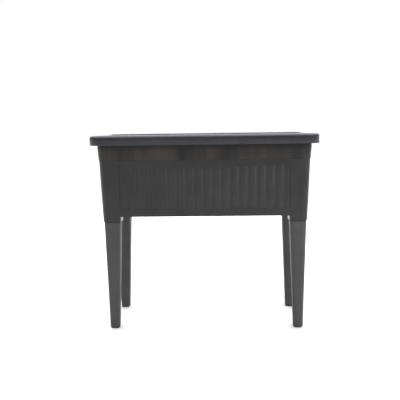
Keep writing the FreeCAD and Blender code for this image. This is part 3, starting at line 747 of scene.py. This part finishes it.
# Smooth all but the sharp edges, give the finish and tie the piece to its body.
def finishPiece(piece, body, slot, material, *nodes, angle=30):
    bpy.ops.object.select_all(action="DESELECT")
    piece.select_set(True)
    bpy.context.view_layer.objects.active = piece
    bpy.ops.object.shade_smooth_by_angle(angle=math.radians(angle))
    piece.data.materials.clear()
    piece.data.materials.append(material)
    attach(piece, body)
    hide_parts(*nodes)


# Whether a point lies beyond a rounded rectangle about the middle, grown by an amount.
def beyond(point, halfX, halfY, radius, amount):
    pastX, pastY = abs(point.x) - mm(halfX - radius), abs(point.y) - mm(halfY - radius)
    reach = mm(radius + amount)
    return math.hypot(pastX, pastY) > reach if min(pastX, pastY) > 0 else max(pastX, pastY) > reach


# Give the faces of a piece between two heights, where the test holds, their own finish.
def finishZone(piece, material, low, high, test):
    piece.data.materials.append(material)
    enterEdit(piece)
    pick(lambda point: mm(low) < point.z < mm(high) and test(point))
    piece.active_material_index = len(piece.data.materials) - 1
    bpy.ops.object.material_slot_assign()
    leaveEdit()


# The band's finish carries a painted shadow and painted reflections, the rim's a colour painted
# lighter
def finishTubZones(tub, shape):
    x, y, corner, bandLow = shape["bandFoot"]
    rimLow, rimTop = shape["rimHeight"]
    margin, aside = shape["zoneMargin"]
    finishZone(tub, bandPaintedLightPlastic, bandLow - margin, shape["bandTopHeight"] + margin,
               lambda point: beyond(point, x, y, corner, -aside)
               and not beyond(point, *shape["lipInside"], -aside))
    finishZone(tub, rimPaintedLightPlastic, rimLow - margin, rimTop + margin,
               lambda point: beyond(point, *shape["lipInside"], aside))


finishPiece(tub, "planter", "tub_plastic", tubPlastic, "tub")
finishTubZones(tub, tubShape)
standAtCorners(makeLeg(legShape), "planter", "leg_plastic", legPlastic, "leg_", "leg")
standAtCorners(makeFootCap(capShape), "planter", "foot_plastic", footPlastic, "foot_cap_",
               "footCap")
print("legs and foot caps made")


# Floor and light

# The room is lightest towards the glow, above and behind, and darkest in front of the planter
stage = {"floorSize": 60, "floorColour": "#fafaf9", "floorRoughness": 0.9, "skyFront": 0.1,
         "skyBehind": 0.95, "glow": (0.25, 0.6, 0.78), "glowReach": (-0.6, 1)}
bpy.ops.object.select_all(action="DESELECT")
bpy.ops.mesh.primitive_plane_add(size=stage["floorSize"], location=(0, 0, 0))
floor = bpy.context.object
floor.name = "floor"
floorMaterial, tree = newMaterial("paleFloor")
shader = addNode(tree, "ShaderNodeBsdfPrincipled",
                 {"Base Color": linear(stage["floorColour"]),
                  "Roughness": stage["floorRoughness"]})
addNode(tree, "ShaderNodeOutputMaterial", links={"Surface": shader.outputs["BSDF"]})
floor.data.materials.append(floorMaterial)

world = bpy.data.worlds.new("studio")
bpy.context.scene.world = world
world.use_nodes = True
tree = world.node_tree
tree.nodes.clear()
seen = addNode(tree, "ShaderNodeLightPath").outputs["Is Camera Ray"]
direction = addNode(tree, "ShaderNodeTexCoord").outputs["Generated"]
towardsGlow = addNode(tree, "ShaderNodeVectorMath", {"operation": "DOT_PRODUCT"})
towardsGlow.inputs[1].default_value = stage["glow"]
tree.links.new(direction, towardsGlow.inputs[0])
around = addNode(tree, "ShaderNodeMapRange",
                 {"From Min": stage["glowReach"][0], "From Max": stage["glowReach"][1],
                  "To Min": stage["skyFront"], "To Max": stage["skyBehind"]},
                 {"Value": towardsGlow.outputs["Value"]}).outputs["Result"]
strength = addNode(tree, "ShaderNodeMapRange", {"To Max": 1.0},
                   {"Value": seen, "To Min": around}).outputs["Result"]
sky = addNode(tree, "ShaderNodeBackground", {"Color": (1, 1, 1, 1)}, {"Strength": strength})
addNode(tree, "ShaderNodeOutputWorld", links={"Surface": sky.outputs["Background"]})

lights = [
    {"name": "overhead", "kind": "SUN", "place": (0, 0, 3), "aim": (0, 0, 0), "spread": 100,
     "power": 2.0, "colour": "#ffffff", "lights": "all"},
    {"name": "above", "kind": "AREA", "place": (0, -0.2, 2.2), "aim": (0, -0.2, 0),
     "size": (6, 4), "power": 300, "colour": "#f4f6ff", "lights": "gloss"},
    {"name": "behind", "kind": "AREA", "place": (-0.1, 2.8, 1.5), "aim": (0, 0, 0.6),
     "size": (5, 2.2), "power": 75, "colour": "#f4f7ff", "lights": "all"},
    {"name": "frontLeft", "kind": "AREA", "place": (-0.8, -2.1, 0.6), "aim": (0.34, -0.18, 0.5),
     "size": (0.3, 1.0), "spread": 34, "power": 0.25, "colour": "#ffffff", "lights": "gloss"},
    {"name": "rightLow", "kind": "AREA", "place": (1.7, -1.6, 0.4), "aim": (0.3, -0.1, 0.2),
     "size": (2, 0.6), "power": 18, "colour": "#fffaf4", "lights": "matt"},
]
for light in lights:
    direction = Vector(light["aim"]) - Vector(light["place"])
    bpy.ops.object.light_add(type=light["kind"], location=light["place"],
                             rotation=direction.to_track_quat("-Z", "Y").to_euler())
    lamp = bpy.context.object
    lamp.name = light["name"]
    lamp.data.color = linear(light["colour"])[:3]
    lamp.data.energy = light["power"]
    if light["kind"] == "SUN":
        lamp.data.angle = math.radians(light["spread"])
    else:
        lamp.data.shape = "RECTANGLE"
        lamp.data.size, lamp.data.size_y = light["size"]
        lamp.data.spread = math.radians(light.get("spread", 180))
        lamp.visible_camera = False
    lamp.visible_diffuse = light["lights"] != "gloss"
    lamp.visible_glossy = light["lights"] != "matt"
bpy.context.scene.view_settings.view_transform = "Standard"
print("stage set")
